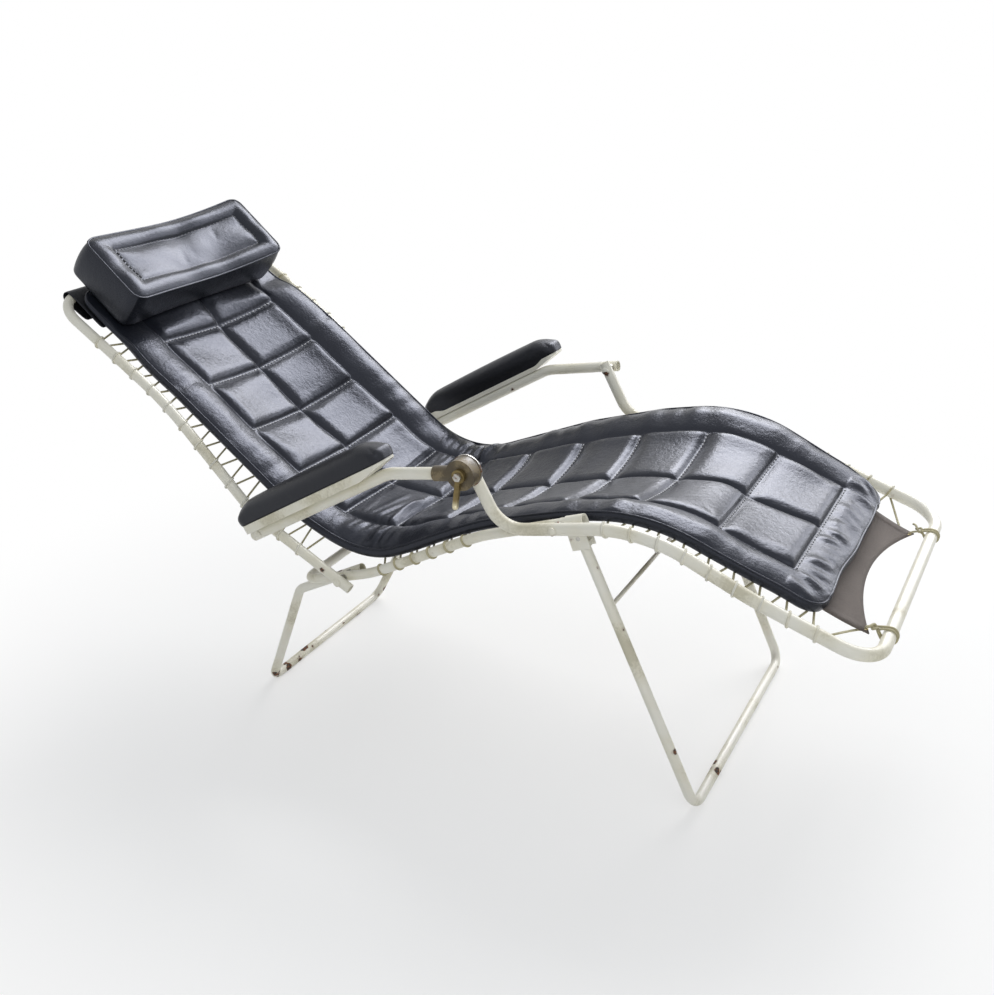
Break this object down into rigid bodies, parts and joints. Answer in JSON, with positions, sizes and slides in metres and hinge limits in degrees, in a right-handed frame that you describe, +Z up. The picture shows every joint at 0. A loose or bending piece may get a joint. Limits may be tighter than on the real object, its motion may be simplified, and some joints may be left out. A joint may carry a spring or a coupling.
{
  "type": "folding reclining chaise lounge",
  "caption": "Folding recliner of bent painted tube with a laced canvas sling, quilted vinyl pad, head pillow, padded armrests, lever lock and fold-away legs.",
  "frame": {"origin": "on the ground, in the middle of the outline", "axes": "+X from the head to the feet, +Z up, the sitter's right is -Y"},
  "size_m": [1.6351, 0.733, 0.9653],
  "materials": {
    "frame_paint": "worn gloss enamel",
    "rod_paint": "worn gloss enamel",
    "arm_base_paint": "gloss enamel",
    "rivet_steel": "dull zinc",
    "lever_steel": "tarnished",
    "lock_moulding": "brown moulded resin",
    "pad_vinyl": "grained satin vinyl",
    "pillow_vinyl": "grained satin vinyl",
    "arm_vinyl": "grained satin vinyl",
    "hood_vinyl": "satin vinyl",
    "canvas": "woven canvas",
    "lacing_cord": "covered elastic cord"
  },
  "bodies": {
    "seat_frame": {"seat_tube": "frame_paint", "seat_sling": "canvas", "seat_pad": "pad_vinyl", "rivet_back_right": "rivet_steel", "rivet_back_left": "rivet_steel", "washer_back_right": "rivet_steel", "washer_back_left": "rivet_steel", "washer_rear_right": "rivet_steel", "washer_rear_left": "rivet_steel", "rivet_leg_right": "rivet_steel", "rivet_leg_left": "rivet_steel", "washer_leg_right": "rivet_steel", "washer_leg_left": "rivet_steel", "front_bracket_right": "frame_paint", "front_bracket_left": "frame_paint", "pin_front_leg_right": "rivet_steel", "pin_front_leg_left": "rivet_steel", "seat_lacing_right": "lacing_cord", "seat_lacing_left": "lacing_cord"},
    "back": {"back_tube": "frame_paint", "back_sling": "canvas", "back_pad": "pad_vinyl", "head_hood": "hood_vinyl", "pillow": "pillow_vinyl", "back_lacing_right": "lacing_cord", "back_lacing_left": "lacing_cord", "rivet_arm_rear_right": "rivet_steel", "rivet_arm_rear_left": "rivet_steel", "spacer_arm_rear_right": "rivet_steel", "spacer_arm_rear_left": "rivet_steel"},
    "leg_rest": {"leg_tube": "frame_paint", "leg_sling": "canvas", "leg_pad": "pad_vinyl", "lock_plate_inner": "rivet_steel", "rivet_arm_front_left": "rivet_steel", "washer_arm_front_left": "rivet_steel", "lock_bolt": "rivet_steel", "leg_lacing_right": "lacing_cord", "leg_lacing_left": "lacing_cord", "corner_tie_right": "lacing_cord", "corner_tie_left": "lacing_cord"},
    "armrest_right": {"arm_tube_right": "frame_paint", "arm_base_right": "arm_base_paint", "arm_pad_right": "arm_vinyl", "lock_housing": "lock_moulding", "lock_plate_outer": "rivet_steel"},
    "armrest_left": {"arm_tube_left": "frame_paint", "arm_base_left": "arm_base_paint", "arm_pad_left": "arm_vinyl"},
    "lock_lever": {"lock_lever": "lever_steel"},
    "front_leg": {"front_leg_tube": "frame_paint", "stretcher_rod": "rod_paint"},
    "rear_leg": {"rear_leg_tube": "frame_paint"}
  },
  "joints": [
    {"name": "back_recline", "type": "hinge", "parent": "seat_frame", "child": "back", "pos_m": [-0.1865, 0, 0.34], "axis": [0, 1, 0], "range_deg": [-20, 25]},
    {"name": "legrest_tilt", "type": "hinge", "parent": "seat_frame", "child": "leg_rest", "pos_m": [0.27949, 0, 0.5211], "axis": [0, 1, 0], "range_deg": [-20, 25]},
    {"name": "armrest_right_pivot", "type": "hinge", "parent": "leg_rest", "child": "armrest_right", "pos_m": [0.12853, 0, 0.61216], "axis": [0, 1, 0], "range_deg": [-25, 20]},
    {"name": "armrest_left_pivot", "type": "hinge", "parent": "leg_rest", "child": "armrest_left", "pos_m": [0.12853, 0, 0.61216], "axis": [0, 1, 0], "range_deg": [-25, 20]},
    {"name": "lock_lever_swing", "type": "hinge", "parent": "armrest_right", "child": "lock_lever", "pos_m": [0.12853, 0, 0.61216], "axis": [0, 1, 0], "range_deg": [-70, 0]},
    {"name": "front_leg_fold", "type": "hinge", "parent": "seat_frame", "child": "front_leg", "pos_m": [0.31593, 0, 0.50373], "axis": [0, 1, 0], "range_deg": [0, 86]},
    {"name": "rear_leg_fold", "type": "hinge", "parent": "seat_frame", "child": "rear_leg", "pos_m": [-0.1865, 0, 0.34], "axis": [0, 1, 0], "range_deg": [-140, 0]}
  ],
  "couplings": [
    {"joint": "legrest_tilt", "follows": "back_recline", "ratio": 1},
    {"joint": "armrest_right_pivot", "follows": "back_recline", "ratio": -1},
    {"joint": "armrest_left_pivot", "follows": "back_recline", "ratio": -1}
  ]
}
